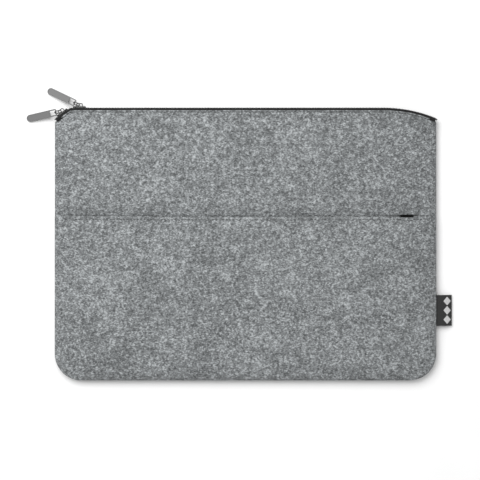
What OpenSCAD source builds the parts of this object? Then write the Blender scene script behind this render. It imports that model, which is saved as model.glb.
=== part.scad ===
// Zipped felt laptop sleeve, lying flat on its back panel.
// +X runs along the zip, +Y points to the zip, +Z points out of the front pocket.
// The origin is the centre of the face that the sleeve lies on. All sizes are in millimetres.

/* [Sleeve] */
// Width across the side seams
body_w = 381.5; // [350:0.5:400]
// Height of the centre line of the zip above the middle of the sleeve
zip_y = 135.5; // [125:0.5:145]
// Distance from the middle of the sleeve to the bottom seam
bottom_y = 136.5; // [120:0.5:145]
// Radius of the two bottom corners
corner_r = 27; // [20:1:35]
// Thickness of the felt
felt_t = 2; // [1.6:0.1:2.2]
// Height of the edge of the front pocket above the middle of the sleeve
pocket_y = 27.5; // [10:0.5:50]

/* [Zip] */
// Radius of the shoulder at the right end of the zip
shoulder_r = 135; // [110:5:160]
// How far the left corner slopes down, in degrees
corner_slope = 36; // [35:1:39]
// Width of one half of the closed coil
coil_w = 2.5; // [2.2:0.1:2.6]
// Thickness of the coil
coil_t = 1.7; // [1.5:0.1:1.7]
// Thickness of the woven tape
tape_t = 0.45; // [0.35:0.05:0.5]

/* [Sliders and pullers] */
// Length of a slider along the zip
slider_l = 12.5; // [11:0.5:13]
// Width of a slider across the zip
slider_w = 7.8; // [7.6:0.1:7.9]
// Thickness of the wire of a link
wire_d = 1; // [0.8:0.1:1]
// Length of a puller
puller_l = 31.5; // [25:0.5:40]
// Width of a puller
puller_w = 7; // [6.8:0.1:7.2]
// Thickness of a puller
puller_t = 1.5; // [1.2:0.1:1.6]

/* [Label] */
// How far the folded label stands out of the side seam
label_out = 15.5; // [12:0.1:20]
// Width of the label's ribbon
label_w = 30.8; // [20:0.1:40]
// Height of the middle of the label above the middle of the sleeve
label_y = -66.4; // [-80:0.1:0]

/* [Hidden] */
$fn = 48;

felt = "#8b8f90";
black = "#1d1e20";
metal = "#8a8a8c";
gunmetal = "#2c2d2f";
thread = "#6f7374";
pale = "#dcdcdc";

// Heights. The mouth is as thick as the slider, the tape and the felt beside it need.
half_w = body_w / 2;
side_gap = 0.15;                                   // slider to tape, at each side
tape_leg_z = slider_w / 2 + side_gap;              // inner face of the tape, from the zip's middle
felt_z = tape_leg_z + tape_t;                      // inner face of the felt, from the zip's middle
zip_z = felt_z + felt_t;                           // height of the middle of the zip
lip_z = zip_z + felt_z + felt_t;                   // top of the front panel beside the zip
seam_z = 5.6;                                      // height of the side and bottom seams
step_z = lip_z - 0.6;                              // top of the front panel at the pocket's edge
room = 4.3;                                        // free height in the compartment and in the pocket
inner_z = 2 * felt_t + room;                       // top of the front panel behind the pocket
pocket_gap = 0.3;                                  // front panel to pocket panel, at the pocket's edge
edge_run = 7;                                      // how far in from a seam the outer face is round
edge_run_in = edge_run - felt_t;                   // the same for the inner face
pocket_inset = 1.2;                                // edge of the pocket panel, in from the seam
pocket_run = 12;                                   // how far in the pocket reaches its full height

// The line of the zip, in plan: straight, with a shoulder at the right and a corner at the left.
lip_gap = 2.1;                                    // edge of the felt, in from the middle of the coil
straight_left = 18.35 - half_w;                    // ends of the straight run
straight_right = half_w - 52.75;
bend_r = 8;                                        // bend between the straight run and the left slope
lip_corner_r = 3.85;                               // felt's radius where the mouth meets a side seam
left_run = 16.6;                                   // length of the left slope
right_end_r = lip_corner_r + lip_gap;
right_corner_x = half_w - lip_corner_r;            // centre of the corner at the right end
left_corner_x = -right_corner_x;
shoulder_slope = asin((right_corner_x - straight_right) / (shoulder_r - right_end_r));
right_corner = [right_corner_x, zip_y - shoulder_r + (shoulder_r - right_end_r) * cos(shoulder_slope)];
bend_end = [straight_left - bend_r * sin(corner_slope), zip_y - bend_r * (1 - cos(corner_slope))];
right_end_sweep = 20;                              // the coil's turn round the right corner, in degrees
tape_depth = 13;                                   // how far the tape reaches into the sleeve
coil_gap = 0.5;                                    // middle of the zip to the coil, for the slider's post
coil_out = coil_gap + coil_w;
cord_w = 0.7;
cord_room = cord_w + 0.1;
stop_l = 2;                                        // an end stop, along the zip
stop_t = 2;
stop_half = coil_out - 0.1;

// Sliders. The right one opens the zip, and the left one is parked at the end of the zip.
plate_t = 0.85;
plate_in = coil_t / 2 + 0.15;                      // inner face of a slider's plates
plate_out = plate_in + plate_t;
slit = 0.8;                                        // slot at each side of a slider, for the tape
flange_t = 0.75;
right_slider = [straight_left + slider_l / 2 + 0.2, zip_y];
left_slider_run = 6.45;                            // distance of the left slider along the left slope
left_slider = bend_end - left_slider_run * [cos(corner_slope), sin(corner_slope)];
crown_l = 6.7;
crown_w = 1.5;
crown_h = 3.4;
crown_t = 0.8;
pivot_out = plate_out + 1.3;                       // the link's wire, out from the middle of the coil
link_l = 6.5;                                      // length of the link, between the wire's middles
link_r = 2.2;                                      // radius of the link's round ends
link_twist = 30;                                   // turns the ring so that it lies half flat
bar_r = 5.35;                                      // the puller's bar, out from the link's pivot
bar_d = 1.1;
window_l = 5.8;
window_w = 4.8;
puller_dip = 10.6;                                 // the pullers' slope down to the table, in degrees
right_swing = 154;                                 // where the right puller points, from +X, in degrees
left_swing = 192;

// Stitches and label
stitch_l = 2.5;
stitch_pitch = 3.4;
stitch_w = 0.5;
stitch_h = 0.3;
topstitch_in = 1.8;                                // topstitch, in from the edge of the felt
hem_in = 3;
ribbon_t = 0.3;
label_t = 0.8;
label_x = half_w + 0.5;
motif_in = 4.9;                                    // middle of the motif, in from the label's fold

// A smooth step from 0 to 1
function ease(t) = t <= 0 ? 0 : t >= 1 ? 1 : t * t * (3 - 2 * t);

// A quarter of an ellipse: 0 at the edge, 1 once the distance d reaches the length a
function round_edge(d, a) = d >= a ? 1 : sqrt(1 - pow(1 - d / a, 2));

// The mouth's edge of the felt: its height at x. It follows the zip, lip_gap further in.
function on_circle(centre, r, x) = centre.y + sqrt(max(0, r * r - pow(x - centre.x, 2)));
bend_lip = [straight_left - (bend_r - lip_gap) * sin(corner_slope),
            zip_y - bend_r + (bend_r - lip_gap) * cos(corner_slope)];
left_lip_end_x = left_corner_x - lip_corner_r * sin(corner_slope);
left_corner_y = bend_lip.y - (bend_lip.x - left_lip_end_x) * tan(corner_slope)
                - lip_corner_r * cos(corner_slope);
right_lip_end_x = right_corner_x + lip_corner_r * sin(shoulder_slope);
function mouth_y(x) =
    x < left_lip_end_x ? on_circle([left_corner_x, left_corner_y], lip_corner_r, x) :
    x < bend_lip.x ? bend_lip.y - (bend_lip.x - x) * tan(corner_slope) :
    x < straight_left ? on_circle([straight_left, zip_y - bend_r], bend_r - lip_gap, x) :
    x < straight_right ? zip_y - lip_gap :
    x < right_lip_end_x ? on_circle([straight_right, zip_y - shoulder_r], shoulder_r - lip_gap, x) :
    on_circle(right_corner, lip_corner_r, x);

// The outline inside the seams, drawn in by inset: its bottom edge at x, and a point's distance from it
function bottom_edge(x, inset) =
    let (r = corner_r - inset, over = max(0, abs(x) - (half_w - corner_r)))
    -bottom_y + corner_r - sqrt(max(0, r * r - over * over));
function seam_distance(x, y, inset) =
    let (over = abs(x) - (half_w - corner_r), under = -bottom_y + corner_r - y, r = corner_r - inset)
    max(0, over > 0 && under > 0 ? r - norm([over, under]) : r - max(over, under));

// Heights of the faces of the felt at a point
function front_top(x, y) =
    let (behind = ease((pocket_y - 1.5 - y) / 26), down = ease((mouth_y(x) - tape_depth - y) / 60))
    lip_z - (lip_z - step_z) * down - (step_z - inner_z) * behind;
function front_outer(x, y) =
    seam_z + (front_top(x, y) - seam_z) * round_edge(seam_distance(x, y, 0), edge_run);
function front_inner(x, y) =
    seam_z + (front_top(x, y) - felt_t - seam_z) * round_edge(seam_distance(x, y, felt_t), edge_run_in);
function back_outer(x, y) = seam_z * (1 - round_edge(seam_distance(x, y, 0), edge_run));
function back_inner(x, y) =
    seam_z - (seam_z - felt_t) * round_edge(seam_distance(x, y, felt_t), edge_run_in);
function pocket_inner(x, y) =
    let (full = step_z + pocket_gap, d = seam_distance(x, y, pocket_inset))
    max(front_outer(x, y) + pocket_gap, seam_z + (full - seam_z) * round_edge(d + 0.4, pocket_run));
function pocket_outer(x, y) =
    pocket_inner(x, y) + 0.7 + (felt_t - 0.7) * round_edge(seam_distance(x, y, pocket_inset), 5);

// The grid of points that a sheet of felt is drawn on: close together at the seams, wide apart elsewhere
side_steps = [0, 0.5, 1.5, 3, 5, 7, 10, 15, 19, 26, 33, 44];
bottom_steps = [0, 0.5, 1.5, 3, 5, 7, 10, 18];
middle_x = [-90, -30, 30, 90];
pocket_rows = [-60, -20, 0, 6, 12, 18, 23];
mouth_rows = [34, 70, 100];
mouth_steps = [tape_depth, 6, 0];
function columns(inset) = concat(
    [for (s = side_steps) s - (half_w - inset)], middle_x,
    [for (i = [len(side_steps) - 1:-1:0]) half_w - inset - side_steps[i]]);
function rows_low(x, inset) = concat(
    [for (s = bottom_steps) bottom_edge(x, inset) + s], pocket_rows, [pocket_y]);
function rows_full(x, inset) = concat(
    rows_low(x, inset), mouth_rows, [for (s = mouth_steps) mouth_y(x) - s]);

// A closed sheet between an upper and a lower set of points, each a list of columns of the same size
module sheet(upper, lower) {
    nx = len(upper);
    ny = len(upper[0]);
    count = nx * ny;
    function at(i, j) = i * ny + j;
    top = [for (i = [0:nx - 2], j = [0:ny - 2]) each [
        [at(i, j), at(i, j + 1), at(i + 1, j + 1)], [at(i, j), at(i + 1, j + 1), at(i + 1, j)]]];
    rim = concat(
        [for (i = [0:nx - 1]) at(i, 0)], [for (j = [1:ny - 1]) at(nx - 1, j)],
        [for (i = [nx - 2:-1:0]) at(i, ny - 1)], [for (j = [ny - 2:-1:1]) at(0, j)]);
    walls = [for (k = [0:len(rim) - 1]) let (a = rim[k], b = rim[(k + 1) % len(rim)]) each [
        [a, b, b + count], [a, b + count, a + count]]];
    bottom = [for (f = top) [f[0] + count, f[2] + count, f[1] + count]];
    points = concat([for (c = upper) each c], [for (c = lower) each c]);
    polyhedron(points, concat(top, walls, bottom), convexity = 8);
}

module back_panel() {
    color(felt) sheet(
        [for (x = columns(felt_t)) [for (y = rows_full(x, felt_t)) [x, y, back_inner(x, y)]]],
        [for (x = columns(0)) [for (y = rows_full(x, 0)) [x, y, back_outer(x, y)]]]);
}

module front_panel() {
    color(felt) sheet(
        [for (x = columns(0)) [for (y = rows_full(x, 0)) [x, y, front_outer(x, y)]]],
        [for (x = columns(felt_t)) [for (y = rows_full(x, felt_t)) [x, y, front_inner(x, y)]]]);
}

module pocket_panel() {
    color(felt) sheet(
        [for (x = columns(pocket_inset)) [for (y = rows_low(x, pocket_inset)) [x, y, pocket_outer(x, y)]]],
        [for (x = columns(pocket_inset)) [for (y = rows_low(x, pocket_inset)) [x, y, pocket_inner(x, y)]]]);
}

// Points along an arc
function arc(centre, r, from, to, steps = 8) =
    [for (i = [0:steps]) let (a = from + (to - from) * i / steps) centre + r * [cos(a), sin(a)]];

// The line of the zip moved outwards by d: its left part, up to the start of the straight run,
// and its right part, which ends on the shoulder or in the right corner
function left_line(d, length) = concat(
    [bend_end - length * [cos(corner_slope), sin(corner_slope)]
     + d * [-sin(corner_slope), cos(corner_slope)]],
    arc([straight_left, zip_y - bend_r], bend_r + d, 90 + corner_slope, 90));
function shoulder_line(d, sweep) =
    arc([straight_right, zip_y - shoulder_r], shoulder_r + d, 90, 90 - sweep);
function corner_line(d, from, to) =
    arc(right_corner, right_end_r + d, 90 - shoulder_slope - from, 90 - shoulder_slope - to);
function zip_line(d, left_length, right_sweep) =
    concat(left_line(d, left_length), shoulder_line(d, shoulder_slope), corner_line(d, 0, right_sweep));

// The area between two lines of points
module between(outer, inner) {
    polygon(concat(outer, [for (i = [len(inner) - 1:-1:0]) inner[i]]));
}

// Stands an area between two distances from the middle of the zip, on its front or its back side
module on_side(side, from, to) {
    translate([0, 0, zip_z + (side > 0 ? from : -to)]) linear_extrude(to - from) children();
}

module zip_band(half, left_length, right_sweep) {
    between(zip_line(half, left_length, right_sweep), zip_line(-half, left_length, right_sweep));
}

module zip_coil(side) {
    left = left_run - 2.2;
    right = right_end_sweep - 10;
    middle = coil_gap + coil_w / 2;
    color(black) difference() {
        on_side(side, coil_gap, coil_out) zip_band(coil_t / 2, left, right);
        on_side(side, middle - cord_room / 2, middle + cord_room / 2)
            zip_band(cord_room / 2, left + 1, right + 1);
    }
}

module coil_cord(side) {
    middle = coil_gap + coil_w / 2;
    color(black) on_side(side, middle - cord_w / 2, middle + cord_w / 2)
        zip_band(cord_w / 2, left_run - 2.2, right_end_sweep - 10);
}

// A tape has a web beside the coil and a leg that is sewn under the felt. The leg ends before
// the felt curves down to the side seams.
module zip_tape(side) {
    shallow = bend_r - 0.2;
    leg_left = 9;
    leg_sweep = shoulder_slope - 4;
    outer = tape_t / 2;
    color(black) {
        on_side(side, coil_out, felt_z) zip_band(outer, left_run - 1, right_end_sweep - 4);
        on_side(side, tape_leg_z, felt_z) {
            between(concat(left_line(outer, leg_left), shoulder_line(outer, leg_sweep)),
                    concat(left_line(-shallow, leg_left), shoulder_line(-shallow, leg_sweep)));
            between(concat([[straight_left, zip_y]], shoulder_line(0, leg_sweep)),
                    concat([[straight_left, zip_y - tape_depth]], shoulder_line(-tape_depth, leg_sweep)));
        }
    }
}

// Blocks of close thread across the ends of the coil, which the sliders stop against
module zip_end_stop_left() {
    color(black) translate([bend_end.x, bend_end.y, zip_z]) rotate([0, 0, corner_slope])
        translate([1 - left_run, 0, 0]) cube([stop_l, stop_t, 2 * stop_half], center = true);
}

module zip_end_stop_right() {
    color(black) translate([0, 0, zip_z - stop_half]) linear_extrude(2 * stop_half)
        between(corner_line(stop_t / 2, right_end_sweep - 9, right_end_sweep),
                corner_line(-stop_t / 2, right_end_sweep - 9, right_end_sweep));
}

// Stitches lie in the felt's face as short threads
module stitch() {
    translate([-stitch_l / 2, -stitch_w / 2, 0]) cube([stitch_l, stitch_w, stitch_h]);
}

module zip_topstitch() {
    first = -half_w + edge_run + 1;
    color(thread) for (i = [0:floor(-2 * first / stitch_pitch)]) {
        x = first + i * stitch_pitch;
        slope = atan((mouth_y(x + 1) - mouth_y(x - 1)) / 2);
        translate([x, mouth_y(x) - topstitch_in / cos(slope), lip_z]) rotate([0, 0, slope]) stitch();
    }
}

module pocket_hem_stitch() {
    first = -half_w + 2 * pocket_run;
    color(thread) for (i = [0:floor(-2 * first / stitch_pitch)])
        translate([first + i * stitch_pitch, pocket_y - hem_in, step_z + pocket_gap + felt_t]) stitch();
}

// A slider in its own place: x along the zip, y out of the sleeve. The head, where the two
// halves of the coil part, is at +x.
module slider_plate() {
    r = 1.5;
    square([slider_l - 2 * r, slider_w], center = true);
    square([slider_l, slider_w - 2 * r], center = true);
    for (x = [-1, 1], y = [-1, 1]) translate([x * (slider_l / 2 - r), y * (slider_w / 2 - r)]) circle(r);
}

module slider_body() {
    flange_l = slider_l - 5;
    for (side = [-1, 1]) {
        translate([0, side > 0 ? plate_out : -plate_in, 0]) rotate([90, 0, 0])
            linear_extrude(plate_t) slider_plate();
        for (z = [-1, 1])
            translate([-flange_l / 2 - 0.6, side > 0 ? slit / 2 : -plate_in - 0.01,
                       z > 0 ? slider_w / 2 - flange_t : -slider_w / 2])
                cube([flange_l, plate_in - slit / 2 + 0.01, flange_t]);
    }
    // The post between the plates, which parts the coil
    translate([slider_l / 2 - 3.6, 0, 0]) cube([3, 2 * plate_in + 0.02, 0.7], center = true);
}

module slider_crown() {
    r = 1.4;
    hole_r = r - crown_t + 0.2;
    linear_extrude(crown_w, center = true) difference() {
        union() {
            translate([-crown_l / 2, plate_out]) square([crown_l, crown_h - r]);
            translate([-crown_l / 2 + r, plate_out]) square([crown_l - 2 * r, crown_h]);
            for (x = [-1, 1]) translate([x * (crown_l / 2 - r), plate_out + crown_h - r]) circle(r);
        }
        translate([-crown_l / 2 + crown_t, plate_out - 1])
            square([crown_l - 2 * crown_t, crown_h - crown_t + 1 - hole_r]);
        translate([-crown_l / 2 + crown_t + hole_r, plate_out - 1])
            square([crown_l - 2 * crown_t - 2 * hole_r, crown_h - crown_t + 1]);
        for (x = [-1, 1])
            translate([x * (crown_l / 2 - crown_t - hole_r), plate_out + crown_h - crown_t - hole_r])
                circle(hole_r);
    }
}

// An oval ring of wire. Its pivot, inside the crown, is at the origin, and it reaches out along +x.
module puller_link() {
    rotate([link_twist, 0, 0]) translate([link_r, 0, 0]) rotate([90, 0, 0]) {
        rotate([0, 0, 90]) rotate_extrude(angle = 180) translate([link_r, 0]) circle(d = wire_d);
        translate([link_l - 2 * link_r, 0, 0]) rotate([0, 0, -90]) rotate_extrude(angle = 180)
            translate([link_r, 0]) circle(d = wire_d);
        for (y = [-1, 1]) translate([0, y * link_r, 0]) rotate([0, 90, 0])
            cylinder(h = link_l - 2 * link_r, d = wire_d);
    }
}

// A long flat plate with a window, whose end bar hangs in the link. The bar is at the origin.
module puller_plate() {
    near_r = 1;
    tip_r = puller_w / 2;
    far = puller_l - bar_d / 2;
    face = 0.15;
    difference() {
        linear_extrude(puller_t, center = true) difference() {
            union() {
                translate([near_r, -puller_w / 2]) square([far - tip_r - near_r, puller_w]);
                translate([0, near_r - puller_w / 2]) square([far - tip_r, puller_w - 2 * near_r]);
                for (y = [-1, 1]) translate([near_r, y * (puller_w / 2 - near_r)]) circle(near_r);
                translate([far - tip_r, 0]) circle(tip_r);
            }
            translate([-1, -window_w / 2]) square([window_l + 1.5, window_w]);
        }
        for (z = [puller_t / 2, -puller_t / 2]) translate([0, 0, z])
            linear_extrude(2 * face, center = true) {
                translate([window_l + 1.7, -puller_w / 2 + 0.8])
                    square([far - tip_r - window_l - 1.7, puller_w - 1.6]);
                translate([far - tip_r, 0]) circle(tip_r - 0.8);
            }
    }
    rotate([90, 0, 0]) cylinder(h = window_w + 1.2, d = bar_d, center = true);
}

// The places of the sliders, their links and their pullers
module at_right_slider() {
    translate([right_slider.x, right_slider.y, zip_z]) children();
}

module at_left_slider() {
    translate([left_slider.x, left_slider.y, zip_z]) rotate([0, 0, corner_slope]) children();
}

module at_right_pivot() {
    at_right_slider() translate([0, pivot_out, 0]) rotate([0, 0, right_swing]) children();
}

module at_left_pivot() {
    at_left_slider() translate([0, pivot_out, 0]) rotate([0, 0, left_swing - corner_slope]) children();
}

module hanging() {
    translate([bar_r, 0, 0]) rotate([0, puller_dip, 0]) children();
}

// A ribbon folded in two, with its fold away from the seam
module label_ribbon() {
    r = label_t / 2;
    far = label_x + label_out - r;
    color(black) translate([0, label_y + label_w / 2, seam_z]) rotate([90, 0, 0])
        linear_extrude(label_w) difference() {
            union() {
                translate([label_x, -r]) square([far - label_x, label_t]);
                translate([far, 0]) circle(r);
            }
            translate([label_x - 1, -r + ribbon_t]) square([far - label_x + 1, label_t - 2 * ribbon_t]);
            translate([far, 0]) circle(r - ribbon_t);
        }
}

// A column of plain woven diamonds
module label_motif() {
    count = 3;
    diamond = [8, 9];
    pitch = 9.4;
    color(pale) for (i = [0:count - 1])
        translate([label_x + label_out - motif_in, label_y + (i - (count - 1) / 2) * pitch,
                   seam_z + label_t / 2])
            linear_extrude(0.12) polygon([[-diamond.x / 2, 0], [0, -diamond.y / 2],
                                          [diamond.x / 2, 0], [0, diamond.y / 2]]);
}

back_panel();
front_panel();
pocket_panel();
zip_tape(1);  // zip_tape_front
zip_tape(-1);  // zip_tape_back
zip_coil(1);  // zip_coil_front
zip_coil(-1);  // zip_coil_back
coil_cord(1);  // coil_cord_front
coil_cord(-1);  // coil_cord_back
zip_end_stop_left();
zip_end_stop_right();
zip_topstitch();
pocket_hem_stitch();
label_ribbon();
label_motif();
color(gunmetal) at_right_slider() mirror([1, 0, 0]) slider_body();  // slider_body_right
color(gunmetal) at_right_slider() slider_crown();  // slider_crown_right
color(gunmetal) at_right_pivot() puller_link();  // puller_link_right
color(metal) at_right_pivot() hanging() puller_plate();  // puller_plate_right
color(gunmetal) at_left_slider() slider_body();  // slider_body_left
color(gunmetal) at_left_slider() slider_crown();  // slider_crown_left
color(gunmetal) at_left_pivot() puller_link();  // puller_link_left
color(metal) at_left_pivot() hanging() puller_plate();  // puller_plate_left
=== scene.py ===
"""A zipped felt laptop sleeve lying on a pale table, seen from straight above.

Sizes are in millimetres and are turned into metres where a mesh is made.
"""

import math
import random

import bpy
import numpy as np
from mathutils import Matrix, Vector


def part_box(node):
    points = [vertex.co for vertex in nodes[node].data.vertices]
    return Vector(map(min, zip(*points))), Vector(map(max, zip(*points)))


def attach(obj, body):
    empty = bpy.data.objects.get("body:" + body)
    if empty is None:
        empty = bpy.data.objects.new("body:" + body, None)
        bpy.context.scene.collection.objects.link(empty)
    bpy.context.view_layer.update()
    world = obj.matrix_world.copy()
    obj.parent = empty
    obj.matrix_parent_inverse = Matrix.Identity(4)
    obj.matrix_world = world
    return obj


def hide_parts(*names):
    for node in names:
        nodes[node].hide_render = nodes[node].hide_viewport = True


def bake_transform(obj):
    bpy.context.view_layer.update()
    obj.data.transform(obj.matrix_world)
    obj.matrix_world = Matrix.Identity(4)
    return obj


MM = 0.001

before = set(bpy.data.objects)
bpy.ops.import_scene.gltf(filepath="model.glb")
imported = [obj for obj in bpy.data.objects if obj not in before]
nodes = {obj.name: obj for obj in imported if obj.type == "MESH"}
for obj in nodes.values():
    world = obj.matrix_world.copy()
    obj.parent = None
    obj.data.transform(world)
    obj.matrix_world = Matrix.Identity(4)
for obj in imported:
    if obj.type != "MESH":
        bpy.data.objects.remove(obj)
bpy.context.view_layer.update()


def box_mm(node):
    low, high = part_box(node)
    return low / MM, high / MM


# ---------------------------------------------------------------- sizes from the frame
back_low, back_high = box_mm("back_panel")
front_low, front_high = box_mm("front_panel")
pocket_low, pocket_high = box_mm("pocket_panel")
coil_front_low, coil_front_high = box_mm("zip_coil_front")
coil_back_low, coil_back_high = box_mm("zip_coil_back")
ribbon_low, ribbon_high = box_mm("label_ribbon")
motif_low, motif_high = box_mm("label_motif")
hem_low, hem_high = box_mm("pocket_hem_stitch")

COIL_T = 1.7                # thickness of the coil
HALF_W = back_high.x
BOTTOM_Y = back_low.y
SEAM_Z = back_high.z        # height of the side and bottom seams
ZIP_Z = (coil_front_low.z + coil_back_high.z) / 2
ZIP_Y = coil_front_high.y - COIL_T / 2
COIL_GAP = (coil_front_low.z - coil_back_high.z) / 2
COIL_OUT = coil_front_high.z - ZIP_Z
COIL_MID = (COIL_GAP + COIL_OUT) / 2
LIP_Z = front_high.z        # top of the front panel beside the zip
POCKET_Y = pocket_high.y
POCKET_Z = pocket_high.z
HEM_IN = POCKET_Y - (hem_low.y + hem_high.y) / 2
LABEL_T = ribbon_high.z - ribbon_low.z
LABEL_OUT = ribbon_high.x - ribbon_low.x

# ---------------------------------------------------------------- sizes of the felt
FELT_T = 2.0
CORNER_R = 27.0             # bottom corners
EDGE_RUN = 7.0              # how far in from a seam the felt is round
SOFT_RUN = 3.4              # the same for the wide part of the turn, in lengths of the round part
SOFT_SHARE = 0.55           # share of the height that the wide part takes
ROOM = 4.3                  # free height in the compartment
INNER_Z = 2 * FELT_T + ROOM  # top of the front panel behind the pocket
STEP_Z = LIP_Z - 0.6        # top of the front panel at the pocket's edge
FELT_IN_Z = LIP_Z - FELT_T - ZIP_Z
INNER_RUN = 18.0            # how far in from a seam the felt is fully uneven
FRONT_SWELL = 0.3           # depth of that unevenness
POCKET_SWELL = 0.35
GROOVE_DEPTH = 0.9          # groove that the topstitch pulls into the felt
HEM_DEPTH = 0.28            # the same for the pocket's hem
CREASE_DEPTH = 0.55         # crease in the front felt along the pocket's edge
POCKET_SAG = 3.2            # how far the front felt sinks beside the pocket's edge
POCKET_RIM_Z = SEAM_Z + 1.0
POCKET_RUN = 9.0
POCKET_TUCK = 1.2           # how far the pocket's edge leans in
POCKET_THIRD = 110.0        # width of the pocket's left and right parts
GAPE_X = 161.5              # middle of the slit where the pocket stands open
GAPE_HALF = 8.2
DENT_DEPTH = 5.4            # hollow in the front felt under that slit

# ---------------------------------------------------------------- the line of the zip
LIP_GAP = 2.1               # edge of the felt, in from the middle of the coil
LIP_CORNER_R = 3.85
END_R = LIP_CORNER_R + LIP_GAP
CORNER_X = HALF_W - LIP_CORNER_R
STRAIGHT_LEFT = 18.35 - HALF_W
STRAIGHT_RIGHT = HALF_W - 52.75
BEND_R = 8.0
CORNER_SLOPE = 36.0
SHOULDER_R = 135.0
SHOULDER_SLOPE = math.degrees(math.asin((CORNER_X - STRAIGHT_RIGHT) / (SHOULDER_R - END_R)))
LEFT_RUN = 16.6             # length of the left slope
TAPE_DEPTH = 13.0

# ---------------------------------------------------------------- zip, stitches and label
TOOTH_R = 0.42
TOOTH_PITCH = 1.5
CORD_R = 0.32
TAPE_T = 0.45
LIP_LEG = 3.6               # how far the tape is drawn in under the felt
TACK_R = 0.2                # thread of the stitches at the ends of the zip
TACK_PITCH = 0.42
TACK_HALF = 0.5             # half of their reach across the zip
STITCH_IN = 2.1             # topstitch, in from the edge of the felt
STITCH_L = 2.5
STITCH_PITCH = 3.4
STITCH_R = 0.3
RIBBON_T = 0.3
RIBBON_DROP = 3.8           # how far the label hangs at its fold
RIBBON_ROOT = ribbon_low.x - 0.6

# ---------------------------------------------------------------- lines of the felt's grids
GRID_GAP = 3.0
TURN_ANGLES = (14, 24, 34, 45, 56, 68, 80, 90)
SIDE_STEPS = (9.5, 12.5, 16, 19.5, 23, CORNER_R)
# distances in from the mouth and from the pocket's edge, and rows of the front felt about that edge
MOUTH_STEPS = (14, 11, 8.5, 6.5, 5, 4, 3.3, 2.8, 2.4, 2.1, 1.8, 1.5, 1.2, 0.9, 0.6)
POCKET_STEPS = (12, 9, 7, 5.5, 4.5, 3.9, 3.4, 3.0, 2.6, 2.2, 1.8, 1.3, 0.8)
POCKET_ROWS = POCKET_Y + np.array([-14, -10, -7, -4.5, -3, -2, -1, -0.4, 0, 0.4, 0.8, 1.1, 1.4,
                                   1.7, 2, 2.5, 3.5, 5, 7, 9.5, 12.5])

# ---------------------------------------------------------------- look
FELT_TINT = (0.957, 1.006, 1.028)
PULLER_ANGLE = {"right": 154, "left": 192}
EDGE_ROUNDING = {"slider_body": 0.16, "slider_crown": 0.14, "puller_plate": 0.16}
CAMERA_HEIGHT = 1.6
CAMERA_X, CAMERA_Y = -0.0055, 0.004
VIEW_W = 0.480
SENSOR_W = 36


def sine(degrees):
    return math.sin(math.radians(degrees))


def cosine(degrees):
    return math.cos(math.radians(degrees))


def arc_length(radius, degrees):
    return radius * math.radians(degrees)


LEFT_SLOPE_L = (STRAIGHT_LEFT - BEND_R * sine(CORNER_SLOPE) + CORNER_X
                + END_R * sine(CORNER_SLOPE)) / cosine(CORNER_SLOPE)
# each stretch is its length and how far it turns to the right, in degrees
STRETCHES = [
    (arc_length(END_R, 90 - CORNER_SLOPE), 90 - CORNER_SLOPE),
    (LEFT_SLOPE_L, 0),
    (arc_length(BEND_R, CORNER_SLOPE), CORNER_SLOPE),
    (STRAIGHT_RIGHT - STRAIGHT_LEFT, 0),
    (arc_length(SHOULDER_R, SHOULDER_SLOPE), SHOULDER_SLOPE),
    (arc_length(END_R, 90 - SHOULDER_SLOPE), 90 - SHOULDER_SLOPE),
]


def walk_zip(step=0.25):
    """Points along the middle of the zip, from left to right: x, y, heading, distance."""
    x, y, heading, run = -HALF_W - LIP_GAP, 0.0, 90.0, 0.0
    found = [(x, y, heading, run)]
    for length, turn in STRETCHES:
        n = max(1, round(length / step))
        for _ in range(n):
            mid = heading - turn / n / 2
            x += length / n * cosine(mid)
            y += length / n * sine(mid)
            heading -= turn / n
            run += length / n
            found.append((x, y, heading, run))
    line = np.array(found)
    line[:, 1] += ZIP_Y - line[:, 1].max()
    return line


ZIP = walk_zip()


def zip_at(run, out=0.0):
    """The point at a distance along the zip, moved outwards, and the heading there in radians."""
    heading = np.radians(np.interp(run, ZIP[:, 3], ZIP[:, 2]))
    x = np.interp(run, ZIP[:, 3], ZIP[:, 0]) - out * np.sin(heading)
    y = np.interp(run, ZIP[:, 3], ZIP[:, 1]) + out * np.cos(heading)
    return x, y, heading


LIP = zip_at(ZIP[:, 3], -LIP_GAP)


def mouth_y(x):
    """Height of the felt's edge beside the zip."""
    return np.interp(x, LIP[0], LIP[1])


# distances along the zip where its pieces start and end
BEND_RUN = sum(length for length, _ in STRETCHES[:2])
CORNER_RUN = sum(length for length, _ in STRETCHES[:5])
COIL_FROM = BEND_RUN - LEFT_RUN + 2.2
COIL_TO = CORNER_RUN + arc_length(END_R, 10)
TAPE_FROM = BEND_RUN - LEFT_RUN + 1
TAPE_TO = CORNER_RUN + arc_length(END_R, 12)
STITCH_FROM = BEND_RUN - 12.5
STITCH_TO = CORNER_RUN - 1


# ---------------------------------------------------------------- shapes of the felt
def ease(t):
    """A smooth step from 0 to 1."""
    t = np.clip(t, 0, 1)
    return t * t * (3 - 2 * t)


def bump_at(t, width):
    """1 where t is 0, and soon 0 at either side."""
    return np.exp(-(t / width) ** 2)


def round_edge(d, run):
    """A quarter of an ellipse: 0 at the edge, and 1 once the distance d reaches the run."""
    return np.sqrt(np.clip(1 - np.clip(1 - d / run, 0, 1) ** 2, 0, 1))


def soft_edge(d, run):
    """A wider turn towards a seam than that of round_edge."""
    wide = 1 - np.clip(1 - d / (SOFT_RUN * run), 0, 1) ** 2
    return (1 - SOFT_SHARE) * round_edge(d, run) + SOFT_SHARE * wide


def seam_distance(x, y, inset=0.0):
    """Distance of a point from the side and bottom seams, moved in by the inset."""
    over = np.abs(x) - (HALF_W - CORNER_R)
    under = BOTTOM_Y + CORNER_R - y
    r = CORNER_R - inset
    in_corner = (over > 0) & (under > 0)
    return np.maximum(0, np.where(in_corner, r - np.hypot(over, under), r - np.maximum(over, under)))


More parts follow.
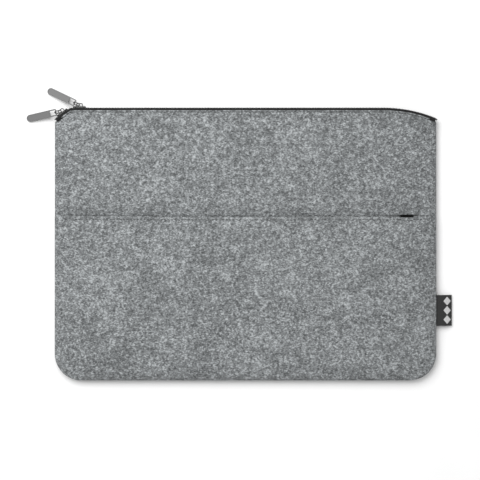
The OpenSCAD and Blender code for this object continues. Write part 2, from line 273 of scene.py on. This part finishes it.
def swell(x, y, seed, size=45.0, count=14):
    """Gentle unevenness of a soft sheet, from -1 to 1."""
    rng = random.Random(seed)
    total = np.zeros_like(x)
    for _ in range(count):
        angle = rng.uniform(0, 2 * math.pi)
        wave = 2 * math.pi / (size * rng.uniform(0.6, 2.4))
        along = x * math.cos(angle) + y * math.sin(angle)
        total += np.sin(wave * along + rng.uniform(0, 2 * math.pi))
    return total / math.sqrt(count)


def front_top(x, y):
    """Height of the front felt away from its seams: high at the zip, low behind the pocket."""
    behind = ease((POCKET_Y - 1.5 - y) / 26)
    down = ease((mouth_y(x) - TAPE_DEPTH - y) / 60)
    return LIP_Z - (LIP_Z - STEP_Z) * down - (STEP_Z - INNER_Z) * behind


def gape(x):
    """How far the pocket stands open along its edge, from 0 to 1: a slit near its right end."""
    return ease((GAPE_HALF - np.abs(x - GAPE_X)) / 3)


def dent(x, y):
    """The hollow under the pocket's open edge, from 0 to 1. Its upper wall is steep."""
    return gape(x) * ease((POCKET_Y + 1.9 - y) / 1.3) * ease((y - POCKET_Y + 14) / 12)


def sag(x, y):
    """How far the front felt has sunk, all along the pocket's edge and in the hollow under its slit."""
    beside = ease((POCKET_Y + 14 - y) / 17) * ease((y - POCKET_Y + 26) / 13)
    return POCKET_SAG * beside * ease(seam_distance(x, y) / INNER_RUN) + DENT_DEPTH * dent(x, y)


def front_outer(x, y):
    d = seam_distance(x, y)
    inside = ease(d / INNER_RUN)
    z = SEAM_Z + (front_top(x, y) - SEAM_Z) * soft_edge(d, EDGE_RUN)
    z += FRONT_SWELL * inside * swell(x, y, 3)
    z -= GROOVE_DEPTH * bump_at(mouth_y(x) - y - STITCH_IN, 0.75) * ease(d / 4)
    z -= CREASE_DEPTH * bump_at(y - pocket_edge(x) - 0.3, 0.8) * inside
    return z - sag(x, y)


def front_inner(x, y):
    d = seam_distance(x, y, FELT_T)
    z = SEAM_Z + (front_top(x, y) - FELT_T - SEAM_Z) * soft_edge(d, EDGE_RUN - FELT_T)
    return z - sag(x, y)


def back_outer(x, y):
    return SEAM_Z * (1 - round_edge(seam_distance(x, y), EDGE_RUN))


def back_inner(x, y):
    return SEAM_Z - (SEAM_Z - FELT_T) * round_edge(seam_distance(x, y, FELT_T), EDGE_RUN - FELT_T)


def pocket_edge(x):
    """Height of the pocket's edge, which bows a little and dips where it stands open."""
    to_left, to_right = np.clip(-x / HALF_W, 0, 1), np.clip(x / HALF_W, 0, 1)
    return POCKET_Y - 0.5 + 1.1 * to_left ** 2 + 0.5 * to_right ** 2 - 0.6 * gape(x)


def pocket_outer(x, y):
    d = seam_distance(x, y)
    inside = ease(d / 24)
    z = POCKET_RIM_Z + (POCKET_Z - POCKET_RIM_Z) * soft_edge(d, POCKET_RUN)
    z += POCKET_SWELL * inside * swell(x, y, 11)
    z -= HEM_DEPTH * bump_at(pocket_edge(x) - y - HEM_IN, 0.8) * ease(d / 10)
    z -= POCKET_TUCK * inside * ease((y - pocket_edge(x) + 11) / 11)
    return z + 0.5 * gape(x) * ease((y - POCKET_Y + 10) / 10)


def pocket_inner(x, y):
    """The pocket's inner face, which stays just clear of the front felt."""
    return np.maximum(front_outer(x, y) + 0.12, pocket_outer(x, y) - FELT_T)


# ---------------------------------------------------------------- meshes
def link_mesh(name, vertices, faces):
    """A smooth mesh object from points in millimetres."""
    mesh = bpy.data.meshes.new(name)
    mesh.from_pydata([tuple(v) for v in np.asarray(vertices) * MM], [], [tuple(f) for f in faces])
    mesh.validate()
    mesh.update()
    mesh.shade_smooth()
    obj = bpy.data.objects.new(name, mesh)
    bpy.context.scene.collection.objects.link(obj)
    return obj


def grid_faces(nu, nv):
    """The faces of a grid of points, with nv points in each of its nu columns."""
    return [(i * nv + j, i * nv + j + 1, (i + 1) * nv + j + 1, (i + 1) * nv + j)
            for i in range(nu - 1) for j in range(nv - 1)]


def thicken(obj, thickness, offset):
    solid = obj.modifiers.new("thickness", "SOLIDIFY")
    solid.thickness = thickness * MM
    solid.offset = offset
    return obj


def join_parts(name, parts):
    """One object from several pairs of points and faces."""
    vertices, faces, offset = [], [], 0
    for part_vertices, part_faces in parts:
        vertices.append(part_vertices)
        faces += [tuple(k + offset for k in face) for face in part_faces]
        offset += len(part_vertices)
    return link_mesh(name, np.concatenate(vertices), faces)


def side_steps(first):
    """Distances in from a seam: close together where the felt is round, and then wider."""
    turn = [EDGE_RUN * (1 - cosine(a)) for a in TURN_ANGLES]
    return np.array([first, *turn, *SIDE_STEPS])


def plan_grid(inset, first, top_edge, top_steps, fine_rows=()):
    """X and Y of a sheet's grid, with its lines bent round the two bottom corners."""
    steps = inset + side_steps(first) * (1 - inset / CORNER_R)
    n = len(steps)
    span = HALF_W - CORNER_R
    middle = np.linspace(-span, span, round(2 * span / GRID_GAP) + 1)[1:-1]
    xs = np.concatenate([steps - HALF_W, middle, (HALF_W - steps)[::-1]])
    low_y = BOTTOM_Y + CORNER_R
    deepest = float(np.min(top_edge(xs))) - top_steps[0] - 3
    rows = np.linspace(low_y, deepest, max(2, round((deepest - low_y) / GRID_GAP)) + 1)[1:]
    if len(fine_rows):
        rows = rows[(rows < fine_rows[0] - 1) | (rows > fine_rows[-1] + 1)]
        rows = np.sort(np.concatenate([rows, fine_rows]))
    low = np.concatenate([BOTTOM_Y + steps, rows])
    columns = []
    for x in xs:
        edge = float(top_edge(np.array([x]))[0])
        between = np.linspace(low[-1], edge - top_steps[0], 6)[1:-1]
        columns.append(np.concatenate([low, between, edge - np.array(top_steps)]))
    y = np.array(columns)
    x = np.repeat(xs[:, None], y.shape[1], axis=1)
    # in the corners, the lines k steps in from the seams become arcs about the corner's centre
    for i in range(n):
        for j in range(n):
            k = min(i, j)
            share = (n - 1 - max(i, j)) / max(1, n - 1 - k)
            angle = 45 * share if i <= j else 90 - 45 * share
            r = CORNER_R - steps[k]
            cx, cy = r * cosine(angle), r * sine(angle)
            x[i, j], y[i, j] = -span - cx, low_y - cy
            x[-1 - i, j], y[-1 - i, j] = span + cx, low_y - cy
    return x, y


def sheet_mesh(name, outer, inner, bulge=0.45):
    """A closed sheet between two grids of points. Its edge at the last row is round."""
    nu, nv = outer.shape[:2]
    top, low = outer[:, -1], inner[:, -1]
    middle, half = (top + low) / 2, (top - low) / 2
    along = np.gradient(top, axis=0)
    out = np.stack([-along[:, 1], along[:, 0], np.zeros(nu)], axis=1)
    out /= np.linalg.norm(out, axis=1)[:, None]
    reach = np.linalg.norm(half, axis=1)[:, None] * bulge
    rim = [middle + half * cosine(a) + out * reach * sine(a) for a in (30, 60, 90, 120, 150)]
    rings = np.concatenate([outer, np.stack(rim, axis=1), inner[:, ::-1]], axis=1)
    count = rings.shape[1]
    faces = []
    for i in range(nu - 1):
        for j in range(count):
            a, b = i * count + j, i * count + (j + 1) % count
            faces.append((a, a + count, b + count, b))
    walls = len(faces)
    for base, flip in ((0, False), ((nu - 1) * count, True)):
        for j in range(nv - 1 + len(rim) // 2):
            quad = [base + j, base + j + 1, base + count - 2 - j, base + count - 1 - j]
            if len(set(quad)) == 4:
                faces.append(quad[::-1] if flip else quad)
    obj = link_mesh(name, rings.reshape(-1, 3), faces)
    # the flat ends leave the shading of the faces beside them alone
    ends = obj.data.polygons[walls:]
    end_edges = {key for polygon in ends for key in polygon.edge_keys}
    for polygon in ends:
        polygon.use_smooth = False
    for edge in obj.data.edges:
        edge.use_edge_sharp = edge.key in end_edges
    return obj


def stack(x, y, z):
    return np.stack([x, y, z], axis=2)


def make_panel(name, outer_z, inner_z):
    """A whole panel of felt. Its faces meet at the height of the seams."""
    x, y = plan_grid(0, 0.8, mouth_y, MOUTH_STEPS, POCKET_ROWS)
    z = outer_z(x, y)
    z[0, :] = z[-1, :] = z[:, 0] = SEAM_Z
    xi, yi = plan_grid(FELT_T, 0, mouth_y, MOUTH_STEPS, POCKET_ROWS)
    return sheet_mesh(name, stack(x, y, z), stack(xi, yi, inner_z(xi, yi)))


def make_pocket():
    """The pocket in three parts: a left, a middle and a right part."""
    x, y = plan_grid(0, 0.5, pocket_edge, POCKET_STEPS)
    z = pocket_outer(x, y)
    z[0, :] = z[-1, :] = z[:, 0] = POCKET_RIM_Z
    xi, yi = plan_grid(FELT_T * 0.6, 0, pocket_edge, POCKET_STEPS)
    outer, inner = stack(x, y, z), stack(xi, yi, pocket_inner(xi, yi))
    cuts = np.searchsorted(x[:, -1], [-HALF_W + POCKET_THIRD, HALF_W - POCKET_THIRD])
    columns = {"left": slice(0, cuts[0] + 1), "middle": slice(cuts[0], cuts[1] + 1),
               "right": slice(cuts[1], None)}
    return [sheet_mesh(f"pocket_felt_{part}", outer[of], inner[of]) for part, of in columns.items()]


def tube(points, radii, sides=6):
    """Rings of a tube through points, as vertices and faces. It runs in a plane of constant z or x."""
    points = np.asarray(points, float)
    along = np.gradient(points, axis=0)
    along /= np.linalg.norm(along, axis=1)[:, None]
    up = np.array([0.0, 0.0, 1.0])
    side = np.cross(along, up)
    short = np.linalg.norm(side, axis=1) < 1e-6
    side[short] = (1, 0, 0)
    side /= np.linalg.norm(side, axis=1)[:, None]
    upward = np.cross(side, along)
    angles = np.linspace(0, 2 * math.pi, sides, endpoint=False)
    rings = [p + r * (np.outer(np.cos(angles), s) + np.outer(np.sin(angles), u))
             for p, r, s, u in zip(points, radii, side, upward)]
    vertices = np.concatenate(rings)
    faces = []
    for i in range(len(points) - 1):
        for j in range(sides):
            a, b = i * sides + j, i * sides + (j + 1) % sides
            faces.append((a, b, b + sides, a + sides))
    faces.append(tuple(range(sides))[::-1])
    faces.append(tuple(range((len(points) - 1) * sides, len(points) * sides)))
    return vertices, faces


def closed_tube(ring, radius, heading, sides=6):
    """A closed loop of round wire. Its loop lies across the heading."""
    n = len(ring)
    centre = ring.mean(axis=0)
    forward = np.array([math.cos(heading), math.sin(heading), 0.0])
    vertices = []
    for p in ring:
        outward = p - centre
        outward -= forward * np.dot(outward, forward)
        outward /= np.linalg.norm(outward)
        for a in np.linspace(0, 2 * math.pi, sides, endpoint=False):
            vertices.append(p + radius * (math.cos(a) * outward + math.sin(a) * forward))
    faces = []
    for i in range(n):
        for j in range(sides):
            a = i * sides + j
            b = i * sides + (j + 1) % sides
            c = ((i + 1) % n) * sides + j
            d = ((i + 1) % n) * sides + (j + 1) % sides
            faces.append((a, b, d, c))
    return np.array(vertices), faces


def stitch(x, y, heading, surface):
    """One stitch: a thread that comes out of the felt, lies on it and goes back in."""
    t = np.linspace(-0.5, 0.5, 9)
    px = x + STITCH_L * t * math.cos(heading)
    py = y + STITCH_L * t * math.sin(heading)
    lift = 0.22 - 0.9 * np.abs(2 * t) ** 6
    pz = surface(px, py) + lift
    radii = STITCH_R * (1 - 0.35 * np.abs(2 * t) ** 4)
    return tube(np.stack([px, py, pz], axis=1), radii)


def make_topstitches():
    """The row of stitches that holds the zip's tape to the front felt."""
    made = []
    for k in range(int((STITCH_TO - STITCH_FROM) / STITCH_PITCH)):
        x, y, heading = zip_at(STITCH_FROM + k * STITCH_PITCH, -LIP_GAP - STITCH_IN)
        made.append(stitch(float(x), float(y), float(heading), front_outer))
    return join_parts("zip_stitches", made)


def make_hem_stitches(name, low_x, high_x):
    """The stitches of the pocket's hem between two places."""
    made = []
    row_half = HALF_W - 12
    for k in range(int(2 * row_half / STITCH_PITCH)):
        x = k * STITCH_PITCH - row_half
        if low_x <= x < high_x:
            y = float(pocket_edge(np.array([x]))[0]) - HEM_IN
            made.append(stitch(x, y, 0.0, pocket_outer))
    return join_parts(name, made)


# ---------------------------------------------------------------- zip
def make_coil(name, side):
    """A row of nylon loops along the zip. The loops of one side lie between the other's."""
    made = []
    turns = np.linspace(0, 2 * math.pi, 12, endpoint=False)
    depth = (COIL_T / 2 - TOOTH_R) * np.cos(turns)
    across = COIL_MID + ((COIL_OUT - COIL_GAP) / 2 - TOOTH_R) * np.sin(turns)
    lean = 0.18 * np.cos(turns)
    start = COIL_FROM + 0.4 + (TOOTH_PITCH / 2 if side < 0 else 0)
    for k in range(int((COIL_TO - start) / TOOTH_PITCH)):
        run = start + k * TOOTH_PITCH
        x, y, _ = zip_at(run + lean, depth)
        ring = np.stack([x, y, ZIP_Z + side * across], axis=1)
        made.append(closed_tube(ring, TOOTH_R, float(zip_at(run)[2])))
    return join_parts(name, made)


def make_cord(name, side):
    """The filler cord inside one half of the coil."""
    x, y, _ = zip_at(np.linspace(COIL_FROM, COIL_TO, 300))
    z = np.full_like(x, ZIP_Z + side * COIL_MID)
    return join_parts(name, [tube(np.stack([x, y, z], axis=1), np.full(len(x), CORD_R))])


def make_tape(name, side):
    """Woven tape: from the coil out to the felt, then folded in under the felt."""
    web_from, web_to = COIL_OUT - 0.35, FELT_IN_Z - TAPE_T / 2
    turn_r = 0.5
    turn = [(turn_r * (cosine(a) - 1), web_to - turn_r * (1 - sine(a))) for a in (0, 30, 60, 90)]
    profile = [(0, web_from), (0, (web_from + web_to) / 2), *turn, (-1.6, web_to), (-LIP_LEG, web_to)]
    runs = np.linspace(TAPE_FROM, TAPE_TO, 420)
    grid = []
    for out, height in profile:
        x, y, _ = zip_at(runs, out)
        grid.append(np.stack([x, y, np.full_like(x, ZIP_Z + side * height)], axis=1))
    grid = np.stack(grid, axis=1)
    tape = link_mesh(name, grid.reshape(-1, 3), grid_faces(*grid.shape[:2]))
    return thicken(tape, TAPE_T, 0)


def make_end_stop(name, node):
    """A bartack: turns of thread wrapped close together round the ends of the coil."""
    low, high = box_mm(node)
    centre = (low + high) / 2
    runs = np.linspace(ZIP[0, 3], ZIP[-1, 3], 4000)
    x, y, _ = zip_at(runs)
    at = runs[np.argmin(np.hypot(x - centre.x, y - centre.y))]
    made = []
    turns = np.linspace(0, 2 * math.pi, 20, endpoint=False)
    z = ZIP_Z + ((high.z - low.z) / 2 - TACK_R) * np.sin(turns)
    for k in range(-2, 3):
        run = at + k * TACK_PITCH
        x, y, _ = zip_at(run, TACK_HALF * np.cos(turns))
        made.append(closed_tube(np.stack([x, y, z], axis=1), TACK_R, float(zip_at(run)[2])))
    return join_parts(name, made)


# ---------------------------------------------------------------- label
def ribbon_z(x, y):
    """Height of the ribbon's upper face. It hangs a little and is a little wavy."""
    out = x - RIBBON_ROOT
    share = out / LABEL_OUT
    waves = 0.12 * share * math.sin(y / 6.5) + 0.05 * math.sin(y / 2.3 + out)
    return SEAM_Z + LABEL_T / 2 - RIBBON_DROP * share ** 2 + waves


def make_ribbon():
    """The folded ribbon: out from the seam, round the fold, and back underneath."""
    fold_r = LABEL_T / 2
    fold_x = ribbon_high.x - fold_r
    columns = []
    for y in np.linspace(ribbon_low.y, ribbon_high.y, 41):
        over = [(x, y, ribbon_z(x, y)) for x in np.linspace(RIBBON_ROOT, fold_x, 17)]
        fold_z = over[-1][2] - fold_r
        fold = [(fold_x + fold_r * sine(a), y, fold_z + fold_r * cosine(a)) for a in range(15, 180, 15)]
        under = [(x, y, z - LABEL_T) for x, _, z in over[::-1]]
        columns.append(over + fold + under)
    grid = np.array(columns)
    ribbon = link_mesh("label_fold", grid.reshape(-1, 3), grid_faces(*grid.shape[:2]))
    return thicken(ribbon, RIBBON_T, -1)


def make_motif(count=3):
    """Plain woven diamonds in a column, raised a little over the ribbon."""
    centre_x = (motif_low.x + motif_high.x) / 2
    half_w = (motif_high.x - motif_low.x) / 2
    length = (motif_high.y - motif_low.y) / count
    steps = np.linspace(-1, 1, 13)
    made = []
    for k in range(count):
        middle = motif_low.y + length * (k + 0.5)
        vertices = []
        for v in steps:
            y = middle + 0.47 * length * v
            for u in steps:
                x = centre_x + (half_w * (1 - abs(v)) + 0.05) * u
                raised = 0.1 if max(abs(u), abs(v)) < 1 else -0.05
                vertices.append((x, y, ribbon_z(x, y) + raised))
        made.append((np.array(vertices), grid_faces(len(steps), len(steps))))
    return join_parts("label_diamonds", made)


# ---------------------------------------------------------------- materials
class Graph:
    """Adds nodes to a material and links them."""

    def __init__(self, name):
        self.material = bpy.data.materials.new(name)
        self.material.use_nodes = True
        self.tree = self.material.node_tree
        self.shader = self.tree.nodes["Principled BSDF"]
        coords = self.tree.nodes.new("ShaderNodeTexCoord")
        self.object = coords.outputs["Object"]

    def node(self, kind, inputs=None, **settings):
        made = self.tree.nodes.new("ShaderNode" + kind)
        for key, value in settings.items():
            setattr(made, key, value)
        for key, value in (inputs or {}).items():
            self.set(made.inputs[key], value)
        return made

    def set(self, socket, value):
        if isinstance(value, bpy.types.NodeSocket):
            self.tree.links.new(value, socket)
        else:
            socket.default_value = value

    def mapped(self, scale=(1, 1, 1), turn=0):
        """The piece's own coordinates, stretched and turned about Z."""
        inputs = {"Vector": self.object, "Scale": scale, "Rotation": (0, 0, math.radians(turn))}
        return self.node("Mapping", inputs).outputs[0]

    def noise(self, size, detail=2.0, rough=0.5, stretch=(1, 1, 1), turn=0, warp=0.0):
        """Noise whose features are about this many millimetres across, from 0 to 1."""
        vector = self.mapped(stretch, turn)
        return self.node("TexNoise", {"Vector": vector, "Scale": 1 / (size * MM), "Detail": detail,
                                      "Roughness": rough, "Distortion": warp}).outputs[0]

    def waves(self, pitch, direction, distortion, turn=0):
        """Stripes that repeat about every pitch millimetres."""
        inputs = {"Vector": self.mapped(turn=turn), "Scale": 1 / (pitch * MM) / 3.14,
                  "Distortion": distortion, "Detail": 1.0}
        return self.node("TexWave", inputs, bands_direction=direction).outputs["Fac"]

    def math(self, operation, a, b):
        return self.node("Math", {0: a, 1: b}, operation=operation).outputs[0]

    def mix(self, *shares):
        """The sum of several values, each times its weight."""
        total = None
        for value, weight in shares:
            part = self.math("MULTIPLY", value, weight)
            total = part if total is None else self.math("ADD", total, part)
        return total

    def remap(self, value, low, high, to_low=0.0, to_high=1.0):
        return self.node("MapRange", {"Value": value, "From Min": low, "From Max": high,
                                      "To Min": to_low, "To Max": to_high}).outputs[0]

    def colours(self, value, *stops):
        """A colour for each value: the stops are pairs of place and colour, in order."""
        ramp = self.node("ValToRGB", {"Fac": value})
        elements = ramp.color_ramp.elements
        for element, (place, colour) in zip((elements[0], elements[1]), (stops[0], stops[-1])):
            element.position = place
            element.color = (*colour, 1)
        for place, colour in stops[1:-1]:
            elements.new(place).color = (*colour, 1)
        return ramp.outputs[0]

    def bump(self, height, depth, strength=1.0, normal=None):
        """Depth is in millimetres."""
        inputs = {"Height": height, "Distance": depth * MM, "Strength": strength}
        if normal is not None:
            inputs["Normal"] = normal
        return self.node("Bump", inputs).outputs[0]

    def finish(self, **values):
        for key, value in values.items():
            self.set(self.shader.inputs[key.replace("_", " ")], value)
        return self.material


def grey(level, tint=(1.0, 1.0, 1.0)):
    return tuple(level * t for t in tint)


def felt_material():
    """Heather felt: pale and dark fibres that cross each other, in clumps, over broad clouds."""
    g = Graph("heather felt")
    strands = [g.noise(size, 1.0, 0.5, stretch=(0.4, 1, 0.6), turn=turn, warp=0.5)
               for turn, size in ((15, 0.8), (75, 0.75), (135, 0.85), (105, 0.7))]
    fibres = g.mix(*[(strand, 1.0) for strand in strands])
    grain = g.noise(2.4, 3.0, 0.65, warp=0.5)
    clumps = g.noise(6.0, 2.0, 0.5, warp=0.4)
    clouds = g.noise(34.0, 3.0, 0.5)
    tone = g.mix((g.remap(fibres, 1.5, 2.5), 0.37), (g.remap(grain, 0.3, 0.7), 0.39),
                 (g.remap(clumps, 0.3, 0.7), 0.17), (g.remap(clouds, 0.3, 0.7), 0.07))
    colour = g.colours(tone, (0.28, grey(0.072, FELT_TINT)), (0.45, grey(0.152, FELT_TINT)),
                       (0.55, grey(0.212, FELT_TINT)), (0.74, grey(0.42, FELT_TINT)))
    fine = g.bump(fibres, 0.3, 0.5)
    return g.finish(Base_Color=colour, Roughness=0.95, Normal=g.bump(grain, 0.5, 0.6, fine),
                    Sheen_Weight=0.1, Sheen_Roughness=0.6, Specular_IOR_Level=0.1)


def woven(name, dark, light, pitch):
    """Close plain weave, with one thread every pitch millimetres."""
    g = Graph(name)
    weave = g.math("MULTIPLY", g.waves(pitch, "X", 0.4), g.waves(pitch, "Y", 0.4))
    lint = g.noise(1.2, 3.0, 0.6)
    colour = g.colours(g.mix((weave, 0.7), (lint, 0.3)), (0.15, dark), (0.8, light))
    return g.finish(Base_Color=colour, Roughness=0.85, Normal=g.bump(weave, 0.12, 0.7),
                    Specular_IOR_Level=0.3)


def thread_material(name, dark, light):
    """Twisted thread."""
    g = Graph(name)
    ply = g.noise(0.35, 2.0, 0.5, stretch=(1, 3, 1), turn=35)
    return g.finish(Base_Color=g.colours(ply, (0.35, dark), (0.65, light)), Roughness=0.8,
                    Normal=g.bump(ply, 0.12, 0.8))


def nylon_material():
    g = Graph("black nylon")
    haze = g.noise(1.5, 3.0, 0.6)
    return g.finish(Base_Color=g.colours(haze, (0.3, grey(0.08)), (0.75, grey(0.14))),
                    Roughness=g.remap(haze, 0.3, 0.7, 0.55, 0.7), Normal=g.bump(haze, 0.03, 0.5),
                    Specular_IOR_Level=0.3)


def black_metal_material():
    g = Graph("black plated metal")
    wear = g.noise(1.8, 4.0, 0.6)
    return g.finish(Base_Color=g.colours(wear, (0.35, grey(0.02)), (0.8, grey(0.06))),
                    Metallic=0.9, Roughness=g.remap(wear, 0.3, 0.7, 0.28, 0.42),
                    Normal=g.bump(wear, 0.02, 0.4))


def ring_material():
    g = Graph("nickel wire")
    wear = g.noise(0.9, 3.0, 0.6)
    return g.finish(Base_Color=g.colours(wear, (0.3, grey(0.06)), (0.75, grey(0.2))),
                    Metallic=0.9, Roughness=g.remap(wear, 0.3, 0.7, 0.22, 0.36),
                    Normal=g.bump(wear, 0.02, 0.4))


def puller_material(name, angle):
    """Gunmetal with fine ribs across the plate."""
    g = Graph(name)
    ribs = g.waves(0.9, "X", 0.3, angle)
    brush = g.noise(0.25, 3.0, 0.6, stretch=(1, 8, 1), turn=angle)
    tone = g.mix((ribs, 0.35), (brush, 0.65))
    return g.finish(Base_Color=g.colours(tone, (0.2, grey(0.095)), (0.8, grey(0.165))),
                    Metallic=0.6, Roughness=g.remap(brush, 0.3, 0.7, 0.5, 0.62),
                    Normal=g.bump(tone, 0.03, 0.5))


def floor_material():
    g = Graph("pale table")
    mottle = g.noise(60.0, 2.0, 0.5)
    return g.finish(Base_Color=g.colours(mottle, (0.3, grey(0.86)), (0.7, grey(0.88))),
                    Roughness=0.9, Specular_IOR_Level=0.1)


felt = felt_material()
tape_cloth = woven("black tape", grey(0.006), grey(0.022), 0.55)
ribbon_cloth = woven("charcoal ribbon", grey(0.02), grey(0.05), 0.5)
motif_cloth = woven("pale woven thread", grey(0.42), grey(0.78), 0.5)
seam_thread = thread_material("grey thread", grey(0.035, FELT_TINT), grey(0.1, FELT_TINT))
tack_thread = thread_material("black thread", grey(0.006), grey(0.02))
nylon = nylon_material()
black_metal = black_metal_material()
nickel = ring_material()


# ---------------------------------------------------------------- pieces in their materials
def paint(obj, material, slot):
    obj.data.materials.clear()
    obj.data.materials.append(material)
    return obj


def add_piece(obj, material, slot, node, body="sleeve"):
    """Paints a piece that stands for a node and moves with a body."""
    paint(obj, material, slot)
    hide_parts(node)
    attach(obj, body)
    return obj


def paint_slit_shade(panel, cloth):
    """Painted shade: felt faces in the hollow under the pocket's open edge get black cloth, standing in
    for the deep shadow in that slit.
    """
    panel.data.materials.append(cloth)
    for polygon in panel.data.polygons:
        x, y, z = polygon.center / MM
        if dent(x, y) > 0.45 and z > SEAM_Z - 3:
            # black cloth here is painted shade, not a lining of the pocket
            polygon.material_index = 1


def add_panels():
    back = add_piece(make_panel("back_felt", back_outer, back_inner), felt, "felt", "back_panel")
    front = add_piece(make_panel("front_felt", front_outer, front_inner), felt, "felt", "front_panel")
    # the black ribbon cloth is painted shade in the slit under the pocket's open edge
    paint_slit_shade(front, ribbon_cloth)


def add_pocket():
    """The pocket and its hem. The side parts hold at their seams while the middle opens."""
    left_cut, right_cut = POCKET_THIRD - HALF_W, HALF_W - POCKET_THIRD
    spans = ((-HALF_W, left_cut), (left_cut, right_cut), (right_cut, HALF_W))
    words = ("left", "middle", "right")
    for part, side, word, (low, high) in zip(make_pocket(), (-1, 0, 1), words, spans):
        hem = make_hem_stitches(f"hem_stitches_{word}", low, high)
        for obj, material, slot, node in ((part, felt, "felt", "pocket_panel"),
                                          (hem, seam_thread, "thread", "pocket_hem_stitch")):
            paint(obj, material, slot)
            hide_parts(node)
            if side:
                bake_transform(obj)
            else:
                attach(obj, "pocket")


def add_zip():
    add_piece(make_topstitches(), seam_thread, "thread", "zip_topstitch")
    for side, word in ((1, "front"), (-1, "back")):
        add_piece(make_coil(f"coil_loops_{word}", side), nylon, "zip_coil", f"zip_coil_{word}")
        add_piece(make_cord(f"coil_filler_{word}", side), tack_thread, "cord", f"coil_cord_{word}")
        add_piece(make_tape(f"woven_tape_{word}", side), tape_cloth, "zip_tape", f"zip_tape_{word}")
    for word in ("left", "right"):
        node = f"zip_end_stop_{word}"
        add_piece(make_end_stop(f"bartack_{word}", node), tack_thread, "zip_tape", node)


def add_label():
    """The folded label and its woven diamonds, which hang a little beside the seam."""
    ribbon = paint(make_ribbon(), ribbon_cloth, "ribbon")
    motif = paint(make_motif(), motif_cloth, "motif_thread")
    for obj, node in ((ribbon, "label_ribbon"), (motif, "label_motif")):
        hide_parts(node)
        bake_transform(obj)


def add_metal(word):
    """One slider, its link and its puller, which keep the CAD's shape with rounded edges."""
    plate = puller_material(f"gunmetal plate {word}", 25 - PULLER_ANGLE[word])
    for node, material, slot in (("slider_body", black_metal, "black_metal"),
                                 ("slider_crown", black_metal, "black_metal"),
                                 ("puller_link", nickel, "black_metal"),
                                 ("puller_plate", plate, "gunmetal")):
        obj = paint(nodes[f"{node}_{word}"], material, slot)
        obj.data.shade_smooth()
        if node in EDGE_ROUNDING:
            bevel = obj.modifiers.new("rounded edges", "BEVEL")
            bevel.width = EDGE_ROUNDING[node] * MM
            bevel.segments = 2
            bevel.limit_method = "ANGLE"
            bevel.angle_limit = math.radians(35)
            bevel.harden_normals = True


add_panels()
add_pocket()
add_zip()
add_label()
add_metal("right")
add_metal("left")


# ---------------------------------------------------------------- table, light and camera
def add_table():
    bpy.ops.mesh.primitive_plane_add(size=6, location=(0, 0, -0.0003))
    table = bpy.context.object
    table.name = "table"
    table.data.materials.append(floor_material())


def add_sky(strength):
    world = bpy.data.worlds.new("studio")
    world.use_nodes = True
    background = world.node_tree.nodes["Background"]
    background.inputs["Color"].default_value = (1, 1, 1, 1)
    background.inputs["Strength"].default_value = strength
    bpy.context.scene.world = world


def add_soft_light(direction, distance, size, power):
    """A round soft light that points at the middle of the sleeve."""
    data = bpy.data.lights.new("key", "AREA")
    data.shape = "DISK"
    data.size = size
    data.energy = power
    light = bpy.data.objects.new("key", data)
    light.location = Vector(direction).normalized() * distance
    light.rotation_euler = Vector(direction).to_track_quat("Z", "Y").to_euler()
    bpy.context.scene.collection.objects.link(light)


def add_camera():
    """Looks straight down. The view is VIEW_W wide at the height of the seams."""
    data = bpy.data.cameras.new("camera")
    data.sensor_width = SENSOR_W
    data.lens = SENSOR_W * (CAMERA_HEIGHT - SEAM_Z * MM) / VIEW_W
    camera = bpy.data.objects.new("camera", data)
    camera.location = (CAMERA_X, CAMERA_Y, CAMERA_HEIGHT)
    bpy.context.scene.collection.objects.link(camera)
    bpy.context.scene.camera = camera


add_table()
add_sky(0.64)
add_soft_light(direction=(-0.74, 1.08, 2.02), distance=1.3, size=1.2, power=17.2)
add_camera()
bpy.context.scene.view_settings.view_transform = "Standard"
